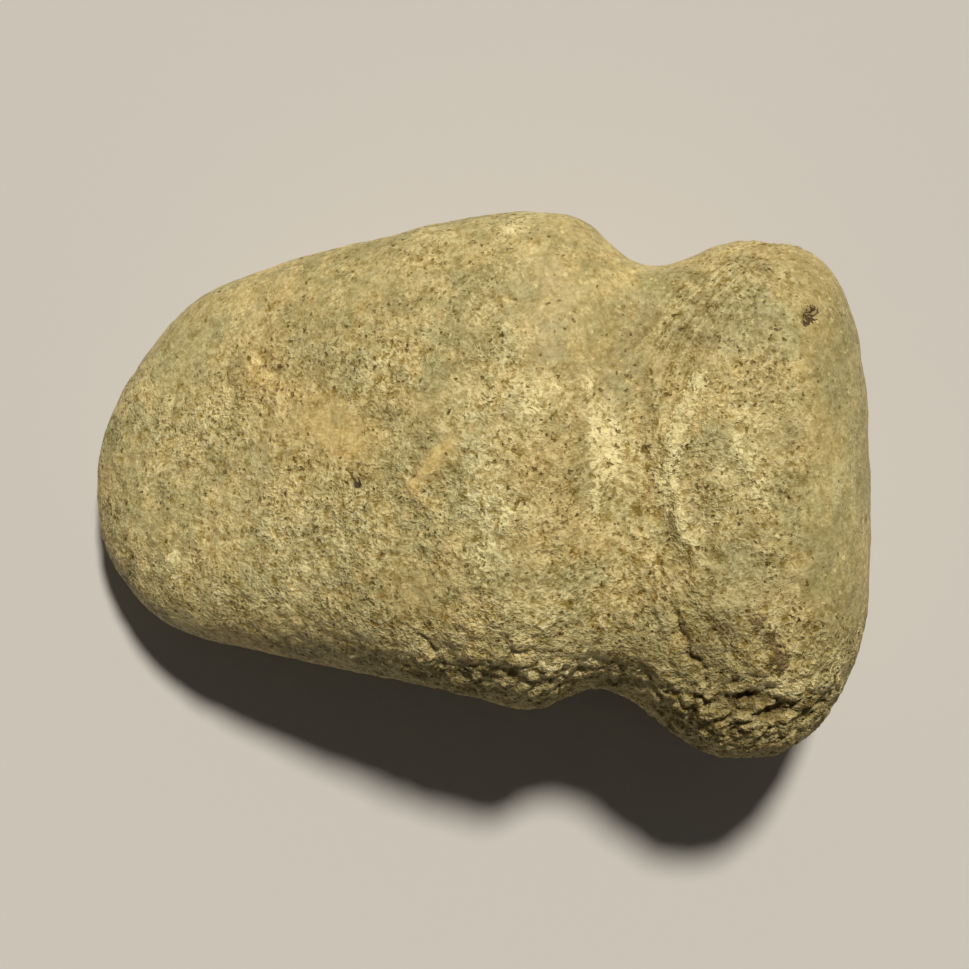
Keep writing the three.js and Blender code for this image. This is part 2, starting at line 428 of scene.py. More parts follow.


# ---------------------------------------------------------------- where the colours lie

# Small patches, seen from above: place, then reach. The pale ones are partly painted highlight and the grey
# ones partly painted shade.
PALE_PLACES = (
    # bit
    (-63, 11.5, 4), (-60, 4, 4), (-56, 1.5, 3), (-51, 15.5, 3), (-47, 11, 3), (-43, -18, 3),
    (-38, -7, 3), (-37, 1, 4), (-37, 11, 4),
    # body
    (-32, -19, 3.5), (-32, -8, 4), (-30, -14, 5), (-26.5, 20.5, 3), (-24, 0, 3), (-24, 32, 3),
    (-20, -9, 5.5), (-19, -4, 3), (-16.5, -25, 3), (-15, 19, 3), (-14.5, 34.5, 3), (-12.5, -31, 3),
    (-12, 5, 3), (-8, -29, 3), (-5.5, 41, 4), (-3.5, -29.5, 3), (0.5, 24.5, 3), (2, 1, 4), (3, -23, 3),
    (3, 5, 3), (4, 19, 3), (6, -33.5, 4), (7, -7.5, 3), (8, 43, 3), (10, -32, 4), (11.5, 10.5, 4.5),
    (16, -22, 3), (16.5, -33, 5),
    # groove
    (18, 24, 3), (18, 31, 3), (22.5, -25, 3), (26, 4, 3), (27, 10, 2.5), (30, -26, 2.5), (31, -36, 3),
    (31, -6, 2.5), (31, 0.5, 3.5), (33, 27, 3),
    # poll
    (38, -10, 3), (42, -1, 5), (42, 9, 2.5), (43.5, 33, 3), (46, 7, 4), (48, -26.5, 2), (48.5, -0.5, 3),
    (49, -37.5, 5), (52, -31, 2.5), (55, -38.5, 4), (58.5, -2.5, 3), (61, -31, 3), (63.5, 2.5, 3),
)
GREY_PLACES = (
    # bit
    (-65, -8, 3), (-61, -13, 4), (-56, -21, 4), (-51.5, 29.5, 5), (-51, -23, 5), (-46.5, -25, 4),
    (-40, -27, 6), (-36, 24, 4),
    # body
    (-26.5, -24, 3.5), (-26, 18, 5.5), (-23, -30.5, 4.5), (-18.8, 0.5, 4), (-16.5, -31.5, 5),
    (-16, 26.5, 3), (-12.5, -20.5, 4), (-9.8, 7, 3), (-8, 3, 2.5), (-6.5, 8, 2.5), (-6, -1, 3),
    (-5, -24, 4), (-2, -34.5, 4), (-0.5, 21, 4.5), (11, 19, 3.5), (13, -3, 5), (14, -29, 4.5),
    (14.5, -9, 2.5),
    # groove
    (21.5, 10, 2.5), (23, -28.5, 4), (23, 17, 3.5), (31, -19, 3.5), (34, -28.5, 3),
    # poll
    (36, -10.5, 2.5), (38, 24, 5), (39, -15, 3), (39, -0.5, 3), (40, -28.5, 3), (43, -45, 5),
    (45.5, -9.5, 3), (47, -29, 4), (49.5, 38.5, 4), (50, -34.5, 3), (51.2, 5, 4), (57, -42, 4),
    (57.5, 6, 3), (57.5, 38.5, 5), (59.5, 26, 4), (61, 32.5, 4), (62, -25, 4),
)


def patches_at(points, places, flatness, turn):
    """Small patches at each of the places, narrower across than along."""
    total = np.zeros(len(points))
    for x, y, reach in places:
        total += spot(points, x, y, reach, flatness * reach, turn)
    return total


def ochre_soil(points):
    """Ochre soil, most near the bit and along the slanted streak."""
    ochre = 0.9 * spot(points, -30, 12, 10, 6, -12) + 0.9 * spot(points, -21.0, 5, 4.5, 4)
    ochre += 0.5 * spot(points, -37, 20, 6, 4) + 0.5 * spot(points, -4, -24, 8, 4)
    ochre += 1.3 * crease(points, BODY_STREAK, 1.3, 0.5)
    return ochre + 0.35 * smooth(0.1, 0.6, fbm(points, 15, 3, 44.0))


def green_stone(points):
    """Green-grey stone: a patch on the body's crest, both ends, and scattered places between."""
    x = points[:, 0]
    green = 1.5 * spot(points, 2.0, -4, 4.5, 13, 14)
    green += 0.9 * spot(points, -52, 26, 14, 5, 38) + 0.8 * smooth(-60, -67, x)
    green += 0.5 * spot(points, -30, -12, 9, 6) + 0.55 * spot(points, -24, 17, 6, 4)
    green += 0.5 * spot(points, 3, 43, 5, 5)
    green += 0.7 * spot(points, 45, 29, 8, 4) + 0.7 * spot(points, 45, -14, 6, 5)
    green += 0.7 * spot(points, 50, -8.5, 2.5, 2) + 0.6 * spot(points, 57, 32, 6, 10)
    green += 0.75 * smooth(54, 61, x)
    return green + 0.6 * smooth(0.1, 0.6, fbm(points, 13, 3, 51.0))


def pale_stone_and_highlight(points):
    """Pale, powdery stone in bands and patches on the upper side, partly a painted highlight on ridges that
    the light runs along and on slopes that face it.
    """
    pale = 0.45 * smooth(-36, -54, points[:, 0]) + 0.5 * spot(points, -30, -17, 9, 6)
    pale += 1.1 * spot(points, *BIT_CRUMB, 1.8, 1.2, 70)
    pale += 0.6 * crease(points, CREST_BAND, 2.4) + 0.6 * crease(points, BACK_BAND, 1.6)
    pale += 0.6 * spot(points, 3.0, -8.5, 4.5, 7.0) + 0.9 * spot(points, 11.9, 12.1, 3.2, 2.6)
    pale += 0.5 * spot(points, 10.0, -25.0, 7.0, 3.0) + 0.9 * spot(points, 16.8, -32.8, 3.4, 1.6, 20)
    pale += 0.6 * crease(points, SHOULDER, 1.0, 0.6)
    pale += 0.5 * spot(points, 22.8, 2.0, 3.4, 8.5, 10) + 1.2 * spot(points, 22.2, 5.0, 2.0, 3.8, 8)
    pale += 0.7 * spot(points, 48.5, -24.0, 3.5, 4.0, 30) + 0.7 * spot(points, 50.5, -36.6, 4.0, 1.8, 10)
    pale += 0.7 * spot(points, 51.8, 10.6, 3.5, 2.5)
    pale += 0.65 * patches_at(points, PALE_PLACES, 0.8, 40)
    return 0.78 * pale + 0.7 * crease(points, POLL_RIM, 1.2, 0.5)


def pale_crust_and_highlight(points):
    """The palest crust, on the poll's rims, the shoulder and a few crumbs of the body; on the rims and the
    shoulder it is partly a painted highlight, as the light runs along those ridges.
    """
    crust_and_highlight = 1.6 * crease(points, POLL_STREAK, 1.2, 0.5) + 0.9 * spot(points, 32.2, -1.0, 1.2, 4.0)
    crust_and_highlight += 0.35 * crease(points, POLL_RIM, 1.2, 0.9) + 0.8 * crease(points, INNER_RIM, 1.1, 0.8)
    crust_and_highlight += 0.6 * crease(points, SHOULDER, 1.2, 0.7) + 0.8 * spot(points, 22.2, 4.6, 2.4, 4.8, 8)
    crust_and_highlight += 0.7 * spot(points, 9.6, 10.4, 2.8, 1.8, 20) + 1.2 * spot(points, 6.0, -6.8, 0.9, 2.0)
    crust_and_highlight += 0.25 * spot(points, -3.0, 11.0, 3.5, 6.5, -35) + 0.5 * spot(points, 1.5, -14.0, 2.5, 5.0)
    return crust_and_highlight + 1.5 * spot(points, *BIT_CRUMB, 1.9, 1.2, 70)


def grey_soil_and_shade(points):
    """Grey-brown soil and painted shade: thick along the front side and the poll's front corner, which face
    away from the light, thin in the groove and over the poll; along the valley, the arcs and a poll hollow it
    is painted shade.
    """
    x, y, _ = points.T
    slanted = y + 0.12 * np.minimum(x, 0)
    # painted shade along the front side and below the poll's front corner, which face away from the light
    grey = 1.5 * smooth(-29, -35, slanted) * smooth(-48, -36, x) * smooth(38, 28, x)
    grey += 2.2 * smooth(-36, -44, y) * smooth(28, 38, x)
    # body
    grey += 0.25 * smooth(16, 36, y) * smooth(-44, -20, x) * smooth(20, 0, x)
    grey += 0.35 * spot(points, -49, 31, 10, 3.5, 38) + 0.24 * spot(points, -20, -24, 20, 6)
    grey += 0.26 * spot(points, 9, 0, 9, 15) + 0.4 * spot(points, 13, 42, 12, 5)
    grey += 0.3 * spot(points, 14, 32, 9, 9) + 0.4 * spot(points, 17, 8, 6, 16)
    # groove
    grey += 0.15 * spot(points, 26, 27, 9, 9) + 0.85 * spot(points, 27, -28, 8, 6)
    # painted shade in the valley behind the groove and along the outer arc
    grey += 0.6 * crease(points, BACK_VALLEY, 2.8, 1.2) + 0.6 * crease(points, OUTER_ARC, 1.6, 0.9)
    grey += 0.25 * lined(points)
    # poll
    # painted shade along the poll's arc and in the hollow beside the crescent
    grey += 0.8 * crease(points, POLL_ARC, 1.2, 0.8) + 1.2 * spot(points, 40.6, -27.2, 4, 2.5, -40)
    grey += 0.5 * spot(points, 45, -35, 14, 8) + 0.5 * spot(points, 46, 28, 14, 13)
    grey += 0.15 * spot(points, 47, 4, 10, 12) + 0.6 * spot(points, 48, -22, 14, 9)
    grey += 0.30 * spot(points, 50, -27, 12, 9) + 0.4 * spot(points, 60, 31, 4, 9)
    grey += 0.4 * smooth(54, 61, x)
    return grey + 0.7 * patches_at(points, GREY_PLACES, 0.75, 70)


def brown_stain_and_shade(points):
    """The brown crescent on the poll, with a blot of painted shade in the hollow beside it and a brown blot
    round the back pits.
    """
    stain_and_shade = 1.05 * crease(points, CRESCENT, 1.7, 0.7) + 0.65 * spot(points, 41.0, -27.3, 3.4, 2.0, -40)
    return stain_and_shade + 0.45 * spot(points, 56.8, 26.6, 2.2, 1.8, 60)


def black_pits(points):
    """Near-black in the deepest pits."""
    black = 0.95 * spot(points, *BACK_PIT, 2.3, 0.9, 68) + 0.85 * spot(points, *BACK_PIT_BESIDE, 1.5, 0.7, 80)
    black += 0.5 * spot(points, *BODY_PIT, 1.1, 1.3) + 0.32 * spot(points, *CREST_PITS, 1.6, 1.2)
    black += 0.6 * spot(points, *CORNER_HOLE, 3.0, 1.2, 4)
    return black + 0.6 * spot(points, *CORNER_HOLE_BESIDE, 3.2, 1.3, 12)


def glinting_white_grains(points):
    """Where white grains catch the light: most on the body's crest."""
    sparkle = spot(points, 2.0, -6.0, 4.0, 12, 14) + 0.45 * spot(points, -30, -15, 9, 6)
    sparkle += 0.3 * spot(points, 10, 8, 9, 6) + 0.3 * spot(points, 43, -14, 6, 6)
    return sparkle + 0.35 * spot(points, 46, 20, 8, 6)


def rusty_grains(points):
    """Where rusty grains gather: near the bit, in a few places on the poll, and thinly all over."""
    rust = 1.5 * spot(points, -34.5, 18.5, 6, 3.5, -20) + 0.5 * spot(points, -33, 14, 5, 4)
    rust += 0.5 * spot(points, -28, 20, 3, 1.6) + 0.7 * spot(points, -20.5, 1.5, 2.0, 2.4)
    rust += 0.8 * spot(points, *CREST_PITS, 1.5, 1.2)
    rust += 0.8 * spot(points, 45.6, -8.8, 2.2, 1.2) + 0.7 * spot(points, 46, -25, 2.0, 1.6)
    return rust + 0.3 * smooth(0.25, 0.6, fbm(points, 9, 2, 63.0))


def colour_masks(points):
    """How much of each colour of the rock and its soil shows at every point, 0 to 1, painted shade and
    painted highlights among them.
    """
    above = smooth(12, 26, points[:, 2])
    ragged = 1 + 0.6 * fbm(points, 7, 3, 31.0)
    return {
        "ochre": above * ochre_soil(points) * ragged,
        "green": (0.35 + 0.65 * above) * green_stone(points) * ragged,
        "pale": above * pale_stone_and_highlight(points) * ragged,
        "crust_and_highlight": above * pale_crust_and_highlight(points),
        "grey": grey_soil_and_shade(points) * (0.7 + 0.3 * ragged),
        "stain_and_shade": above * brown_stain_and_shade(points) * (0.5 + 0.5 * ragged),
        "black": above * black_pits(points),
        "sparkle": above * glinting_white_grains(points) * ragged,
        "lined": above * lined(points),
        "rust": rusty_grains(points),
    }


def ground_stone():
    """The whole stone: carved, fitted to its box again, with its masks stored on its points."""
    stone = blank()
    mesh = stone.data
    points, normals = read_points(mesh), read_normals(mesh)
    height, hollow_shade, rough = carve(points, normals)
    write_points(mesh, fit_to_box(points + normals * height[:, None]))
    masks = colour_masks(points) | {"hollow_shade": hollow_shade, "rough": rough}
    for name, values in masks.items():
        store_mask(mesh, name, values)
    for polygon in mesh.polygons:
        polygon.use_smooth = True
    return stone


stone = ground_stone()
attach(stone, "root")
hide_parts("axe_head")


# ---------------------------------------------------------------- finish

class Nodes:
    """Short ways to add nodes to a tree and join them up."""

    def __init__(self, tree):
        self.tree = tree

    def add(self, kind, **settings):
        node = self.tree.nodes.new(kind)
        for name, value in settings.items():
            setattr(node, name, value)
        return node

    def feed(self, socket, value):
        if isinstance(value, bpy.types.NodeSocket):
            self.tree.links.new(value, socket)
        else:
            socket.default_value = value

    def feed_named(self, node, **values):
        for name, value in values.items():
            self.feed(node.inputs[name.replace("_", " ")], value)

    def math(self, operation, *values):
        node = self.add("ShaderNodeMath", operation=operation)
        for socket, value in zip(node.inputs, values):
            self.feed(socket, value)
        return node.outputs[0]

    def fade(self, value, low, high, to_low=0.0, to_high=1.0):
        node = self.add("ShaderNodeMapRange", interpolation_type="SMOOTHSTEP")
        self.feed_named(node, Value=value, From_Min=low, From_Max=high, To_Min=to_low, To_Max=to_high)
        return node.outputs["Result"]

    def blend(self, share, under, over, how="MIX"):
        node = self.add("ShaderNodeMix", data_type="RGBA", blend_type=how)
        share_in, _, _, _, _, _, under_in, over_in, *_ = node.inputs
        self.feed(share_in, share)
        self.feed(under_in, under)
        self.feed(over_in, over)
        _, _, mixed, *_ = node.outputs
        return mixed

    def darken(self, share, colour, shade):
        return self.blend(share, colour, self.blend(1.0, colour, shade, "MULTIPLY"))

    def noise(self, place, size, detail, rough=0.5, warp=0.0):
        """Uneven grain with features of one size, which is in millimetres."""
        node = self.add("ShaderNodeTexNoise")
        scale = MM_PER_METRE / size
        self.feed_named(node, Vector=place, Scale=scale, Detail=detail, Roughness=rough, Distortion=warp)
        return node.outputs["Fac"]

    def ridges(self, place, size, detail, rough):
        """Noise that rises to sharp ridges, with features of one size, which is in millimetres."""
        node = self.add("ShaderNodeTexNoise", noise_type="RIDGED_MULTIFRACTAL", normalize=False)
        scale = MM_PER_METRE / size
        self.feed_named(node, Vector=place, Scale=scale, Detail=detail, Roughness=rough, Offset=1.0, Gain=2.0)
        return node.outputs["Fac"]

    def mask(self, name):
        return self.add("ShaderNodeAttribute", attribute_name=name).outputs["Fac"]

    def placed(self, group, **values):
        node = self.add("ShaderNodeGroup", node_tree=group)
        self.feed_named(node, **values)
        return node.outputs


def new_group(name, takes, gives):
    """An empty node group with its sockets: takes and gives hold each socket's name and its value or kind."""
    tree = bpy.data.node_groups.new(name, "ShaderNodeTree")
    for label, value in takes.items():
        kind = "NodeSocketVector" if value is None else "NodeSocketFloat"
        socket = tree.interface.new_socket(label, in_out="INPUT", socket_type=kind)
        if value is not None:
            socket.default_value = value
    for label in gives:
        tree.interface.new_socket(label, in_out="OUTPUT", socket_type="NodeSocketFloat")
    nodes = Nodes(tree)
    return tree, nodes, nodes.add("NodeGroupInput").outputs, nodes.add("NodeGroupOutput").inputs


def pushed_about(nodes, place, spacing, scale):
    """The place again, pushed about by noise finer than the spacing, so that grains come out uneven."""
    push_share = 1.1         # how far, as a share of the spacing
    wobble = nodes.add("ShaderNodeTexNoise")
    finer = nodes.math("MULTIPLY", scale, 1.6)
    nodes.feed_named(wobble, Vector=place, Scale=finer, Detail=1.0, Roughness=0.5, Distortion=0.0)
    centred = nodes.add("ShaderNodeVectorMath", operation="SUBTRACT")
    nodes.feed(centred.inputs[0], wobble.outputs["Color"])
    nodes.feed(centred.inputs[1], (0.5, 0.5, 0.5))
    reach = nodes.add("ShaderNodeCombineXYZ")
    push = nodes.math("MULTIPLY", spacing, push_share * MM)
    for socket in reach.inputs:
        nodes.feed(socket, push)
    pushed = nodes.add("ShaderNodeVectorMath", operation="MULTIPLY_ADD")
    nodes.feed(pushed.inputs[0], centred.outputs[0])
    nodes.feed(pushed.inputs[1], reach.outputs[0])
    nodes.feed(pushed.inputs[2], place)
    return pushed.outputs[0]


def grain_group():
    """Scattered grains or pits of uneven shape. Spacing is in millimetres; Size and Share run from 0 to 1."""
    takes = {"Place": None, "Spacing": 1.0, "Size": 0.4, "Share": 0.5, "Soft": 0.5}
    tree, nodes, given, gives = new_group("scattered_grains", takes, ("Mask", "Tint"))
    scale = nodes.math("DIVIDE", MM_PER_METRE, given["Spacing"])
    cell = nodes.add("ShaderNodeTexVoronoi")
    nodes.feed_named(cell, Vector=pushed_about(nodes, given["Place"], given["Spacing"], scale), Scale=scale)
    own = nodes.add("ShaderNodeSeparateColor")
    nodes.feed(own.inputs[0], cell.outputs["Color"])
    picked, grown, tint = own.outputs
    radius = nodes.math("MULTIPLY", given["Size"], nodes.fade(grown, 0.0, 1.0, 0.45, 1.2))
    core = nodes.math("MULTIPLY", radius, nodes.math("SUBTRACT", 1.0, given["Soft"]))
    inside = nodes.fade(cell.outputs["Distance"], core, radius, 1.0, 0.0)
    here = nodes.math("LESS_THAN", picked, given["Share"])
    nodes.feed(gives["Mask"], nodes.math("MULTIPLY", inside, here))
    nodes.feed(gives["Tint"], tint)
    return tree


def mottle_group():
    """Patches that come and go. Patch is their size in millimetres; Low and High set their cover."""
    takes = {"Place": None, "Patch": 5.0, "Low": 0.4, "High": 0.6}
    tree, nodes, given, gives = new_group("mottle", takes, ("Mask",))
    patches = nodes.add("ShaderNodeTexNoise")
    scale = nodes.math("DIVIDE", MM_PER_METRE, given["Patch"])
    nodes.feed_named(patches, Vector=given["Place"], Scale=scale)
    nodes.feed_named(patches, Detail=3.0, Roughness=0.6, Distortion=0.4)
    nodes.feed(gives["Mask"], nodes.fade(patches.outputs["Fac"], given["Low"], given["High"]))
    return tree


TAN = (0.585, 0.456, 0.182, 1)
OLIVE = (0.375, 0.312, 0.122, 1)
OCHRE = (0.655, 0.478, 0.174, 1)
GREEN_GREY = (0.390, 0.352, 0.156, 1)
CREAM = (0.800, 0.665, 0.300, 1)
# the palest crust, partly a painted highlight on ridges
CRUST_AND_HIGHLIGHT = (0.865, 0.765, 0.395, 1)
# white grains painted near-white as glints: painted highlight
WHITE_GRAIN_GLINT = (0.92, 0.84, 0.52, 1)
# grey-brown soil, also the colour of the painted shade on the front side and in the valleys
GREY_SOIL_AND_SHADE = (0.285, 0.222, 0.080, 1)
# painted shade laid into the carved hollows
HOLLOW_SHADE_UMBER = (0.110, 0.072, 0.018, 1)
RUST = (0.200, 0.105, 0.034, 1)
PIT_BLACK = (0.066, 0.043, 0.017, 1)

SHINE = 0.24             # about half of what a smooth, clean stone has

# What a colour is multiplied by: at its darkest and palest grains, in pits and under the stain; each partly
# painted light or shade
DARKEST_SHADE = (0.49, 0.398, 0.152, 1)
PALEST_SHADE = (1.36, 1.450, 1.76, 1)
PIT_SHADE = (0.40, 0.34, 0.22, 1)
STAIN_SHADE = (0.31, 0.265, 0.22, 1)


class Patterns:
    """The patterns that the stone's colour, shine and grain share. Sizes are in millimetres."""

    def __init__(self, nodes):
        self.nodes = nodes
        self.place = nodes.add("ShaderNodeTexCoord").outputs["Object"]
        self.grains, self.mottle = grain_group(), mottle_group()
        self.rough, self.hollow_shade = nodes.mask("rough"), nodes.mask("hollow_shade")
        self.coarse = nodes.noise(self.place, 1.9, 3.0, 0.62)
        self.fine = nodes.noise(self.place, 0.60, 2.0, 0.6)
        self.flakes = nodes.noise(self.place, 1.05, 1.0, 0.5, 1.2)
        self.crumb = nodes.ridges(self.place, 2.1, 2.0, 0.55)
        self.ragged = nodes.fade(self.flakes, 0.35, 0.65, -0.45, 0.45)
        self.lines = self.grinding_lines()
        self.crystals = self.scatter(0.95, 0.42, 0.22, 0.35)
        glints_here = nodes.fade(nodes.mask("sparkle"), 0.0, 1.0, 0.02, 0.55)
        self.glint = self.scatter(0.80, 0.38, glints_here, 0.3)["Mask"]
        self.small_pit, self.large_pit = self.pits()

    def patches(self, size, low, high):
        return self.nodes.placed(self.mottle, Place=self.place, Patch=size, Low=low, High=high)["Mask"]

    def scatter(self, spacing, size, share, soft=0.5):
        takes = {"Place": self.place, "Spacing": spacing, "Size": size, "Share": share, "Soft": soft}
        return self.nodes.placed(self.grains, **takes)

    def beds(self):
        """Streaks along the rock's thin beds, which lie nearly level."""
        level = self.nodes.add("ShaderNodeMapping")
        tilt = (math.radians(3), math.radians(-4), 0)
        self.nodes.feed_named(level, Vector=self.place, Rotation=tilt, Scale=(0.16, 0.16, 1.0))
        return self.nodes.noise(level.outputs[0], 1.2, 3.0, 0.6, 0.3)

    def grinding_lines(self):
        """Lines left by grinding, which bow as the carved ones do."""
        nodes = self.nodes
        where = nodes.add("ShaderNodeSeparateXYZ")
        nodes.feed(where.inputs[0], self.place)
        along, across, up = where.outputs
        bowed = nodes.add("ShaderNodeCombineXYZ")
        square = nodes.math("MULTIPLY", across, across)
        nodes.feed(bowed.inputs[0], nodes.math("MULTIPLY_ADD", square, -LINE_BOW / MM, along))
        nodes.feed(bowed.inputs[1], nodes.math("MULTIPLY", across, 0.16))
        nodes.feed(bowed.inputs[2], nodes.math("MULTIPLY", up, 0.5))
        return nodes.noise(bowed.outputs[0], 0.9, 2.0, 0.6, 0.3)

    def pits(self):
        """Small and large pits, crowded in some patches and rare where the stone is smooth or ochre."""
        nodes = self.nodes
        bared = nodes.fade(nodes.mask("ochre"), 0.3, 0.9, 1.0, 0.5)
        bare = nodes.math("MULTIPLY", nodes.fade(self.rough, 0.05, 0.5, 0.15, 1.0), bared)
        crowd = nodes.math("MULTIPLY", bare, nodes.fade(self.patches(6.0, 0.36, 0.62), 0.0, 1.0, 0.4, 1.6))
        small = self.scatter(0.80, 0.42, nodes.math("MULTIPLY", crowd, 0.32), 0.3)["Mask"]
        large = self.scatter(1.40, 0.27, nodes.math("MULTIPLY", crowd, 0.40), 0.3)["Mask"]
        return small, large

    def outlined(self, name, low, high, shown, sway=1.0, most=1.0):
        """How much of a masked mark shows, with an outline as ragged as the grain."""
        mark = self.nodes.mask(name)
        swayed = self.nodes.math("MULTIPLY_ADD", self.ragged, sway, mark)
        inside = self.nodes.fade(swayed, low, high, 0.0, most)
        return self.nodes.math("MULTIPLY", inside, self.nodes.fade(mark, *shown))


def rock_colour(nodes, look):
    """The rock's own colours, from broad patches down to small ones, with its soils, painted shade and
    painted highlights.
    """
    colour = nodes.blend(look.patches(7.0, 0.40, 0.62), TAN, OLIVE)
    colour = nodes.blend(nodes.math("MULTIPLY", look.patches(3.2, 0.50, 0.66), 0.45), colour, GREEN_GREY)
    broken = look.patches(1.6, 0.30, 0.62)
    for name, paint, most in (
        ("green", GREEN_GREY, 0.80),
        ("grey", GREY_SOIL_AND_SHADE, 0.80),
        ("ochre", OCHRE, 0.85),
        ("pale", CREAM, 0.86),
    ):
        share = nodes.math("MULTIPLY", nodes.mask(name), nodes.fade(broken, 0.0, 1.0, 0.55 * most, most))
        colour = nodes.blend(share, colour, paint)
    return colour


def grain_tone_and_relief_shading(nodes, look):
    """Light and dark from grain to grain, about -1 to 1, weaker where the stone is ground smooth. Part of it
    is painted light and shade: the patterns that raise the bump also lighten the raised grain and darken the
    sunken.
    """
    sand = look.scatter(0.50, 0.5, 1.0)["Tint"]
    tone = nodes.fade(look.coarse, 0.30, 0.70, -0.24, 0.24)
    for pattern, low, high, darkest, lightest in (
        (look.beds(), 0.30, 0.70, -0.18, 0.18),
        (look.fine, 0.28, 0.72, -0.24, 0.24),
        (look.crumb, 0.2, 1.4, -0.22, 0.28),
        (look.crystals["Tint"], 0.0, 1.0, -0.28, 0.28),
        (sand, 0.0, 1.0, -0.25, 0.25),
    ):
        tone = nodes.math("ADD", tone, nodes.fade(pattern, low, high, darkest, lightest))
    flaky = nodes.fade(look.patches(5.0, 0.36, 0.62), 0.0, 1.0, 0.35, 0.9)
    flaky = nodes.math("MAXIMUM", flaky, nodes.mask("green"))
    tone = nodes.math("MULTIPLY_ADD", nodes.fade(look.flakes, 0.44, 0.60, -0.42, 0.52), flaky, tone)
    ground = nodes.fade(look.lines, 0.34, 0.66, -0.62, 0.52)
    tone = nodes.math("MULTIPLY_ADD", ground, nodes.mask("lined"), tone)
    return nodes.math("MULTIPLY", tone, nodes.fade(look.rough, 0.0, 0.60, 0.62, 1.20))


def shaded(nodes, colour, tone):
    """The colour with its grain tone, painted relief light and shade included: dark grains are the browner
    ones, light grains the paler.
    """
    shade = nodes.blend(nodes.math("MULTIPLY_ADD", tone, 0.47, 0.5), DARKEST_SHADE, PALEST_SHADE)
    return nodes.blend(1.0, colour, shade, "MULTIPLY")


def weathered_and_shaded(nodes, look, colour, tone):
    """The colour under pale crust and painted ridge highlights, crystals and painted glints, with its pits,
    which are partly painted shade, rust, stain, near-black in the deepest pits and painted shade in the
    carved hollows.
    """
    dusted = nodes.blend(0.5, colour, CRUST_AND_HIGHLIGHT)
    crusted = nodes.blend(nodes.math("MULTIPLY_ADD", tone, 0.30, 0.5), dusted, CRUST_AND_HIGHLIGHT)
    # pale crust, partly a painted highlight along the poll's rims and the shoulder
    colour = nodes.blend(look.outlined("crust_and_highlight", 0.25, 0.95, (0.05, 0.3), most=0.86), colour, crusted)
    colour = nodes.blend(nodes.math("MULTIPLY", look.crystals["Mask"], 0.55), colour, CREAM)
    # painted glints on the white grains
    colour = nodes.blend(nodes.math("MULTIPLY", look.glint, 0.85), colour, WHITE_GRAIN_GLINT)
    # pits darkened partly for their own colour, partly as painted shade that the bump can't cast
    pitted = nodes.math("MAXIMUM", nodes.math("MULTIPLY", look.small_pit, 0.75), look.large_pit)
    colour = nodes.darken(pitted, colour, PIT_SHADE)
    rusty = nodes.math("MULTIPLY", look.scatter(1.1, 0.50, 0.6)["Mask"], nodes.mask("rust"))
    colour = nodes.blend(nodes.math("MULTIPLY", rusty, 0.85), colour, RUST)
    # brown stain, and painted shade in the hollow beside the crescent
    colour = nodes.darken(look.outlined("stain_and_shade", 0.25, 0.85, (0.10, 0.4)), colour, STAIN_SHADE)
    colour = nodes.blend(look.outlined("black", 0.50, 0.75, (0.10, 0.35), sway=0.9), colour, PIT_BLACK)
    # painted shade: the carved hollows darkened towards umber
    return nodes.blend(nodes.math("MULTIPLY", look.hollow_shade, 0.75), colour, HOLLOW_SHADE_UMBER)


def dullness(nodes, look):
    """How dull the surface is: ground and handled stone shines a little, pits and the carved hollows don't.
    """
    dull = nodes.fade(look.rough, 0.1, 0.8, 0.50, 0.70)
    dull = nodes.math("MULTIPLY_ADD", look.small_pit, 0.2, dull)
    dull = nodes.math("MULTIPLY_ADD", look.glint, -0.25, dull)
    return nodes.math("MULTIPLY_ADD", look.hollow_shade, 0.3, dull)


def grain_height(nodes, look):
    """Height of the grain too fine to carve, in millimetres."""
    high = nodes.fade(look.coarse, 0.2, 0.8, 0.0, 0.26)
    high = nodes.math("ADD", high, nodes.fade(look.fine, 0.2, 0.8, 0.0, 0.15))
    for pattern, height in (
        (look.crumb, 0.12),
        (nodes.fade(look.flakes, 0.42, 0.62), 0.08),
        (look.crystals["Mask"], 0.08),
        (look.small_pit, -0.20),
        (look.large_pit, -0.34),
    ):
        high = nodes.math("MULTIPLY_ADD", pattern, height, high)
    ground = nodes.math("MULTIPLY", nodes.mask("lined"), 0.18)
    high = nodes.math("MULTIPLY_ADD", nodes.fade(look.lines, 0.30, 0.70), ground, high)
    return nodes.math("MULTIPLY", high, nodes.fade(look.rough, 0.05, 0.75, 0.25, 1.15))


def stone_material():
    """Pecked and ground greenish stone with soil in its pores: tan and olive, dark pits, pale grains, with
    painted shade in its hollows and painted highlights on its ridges.
    """
    material = bpy.data.materials.new("pecked_stone")
    material.use_nodes = True
    nodes = Nodes(material.node_tree)
    look = Patterns(nodes)
    tone = grain_tone_and_relief_shading(nodes, look)
    colour = shaded(nodes, rock_colour(nodes, look), tone)
    bump = nodes.add("ShaderNodeBump")
    nodes.feed_named(bump, Height=grain_height(nodes, look), Strength=1.0, Distance=MM)
    shader = material.node_tree.nodes["Principled BSDF"]
    nodes.feed_named(shader, Base_Color=weathered_and_shaded(nodes, look, colour, tone), Normal=bump.outputs[0])
    nodes.feed_named(shader, Roughness=dullness(nodes, look), Specular_IOR_Level=SHINE)
    return material


stone.data.materials.append(stone_material())

# ---------------------------------------------------------------- floor, light and camera

MIDDLE = (CAD_LOW + CAD_HIGH) / 2

FLOOR_HALF_WIDTH = 6.0   # metres
FLOOR_GAP = 0.02         # keeps the floor just clear of the resting spots
PAPER = (0.58, 0.56, 0.53, 1)
PAPER_DULLNESS = 0.9

KEY_SOFTNESS = math.radians(8.6)
KEY_STRENGTH = 3.58
KEY_COLOUR = (1.0, 0.95, 0.86)
KEY_HEIGHT = math.radians(58)
KEY_ASIDE = 0.16

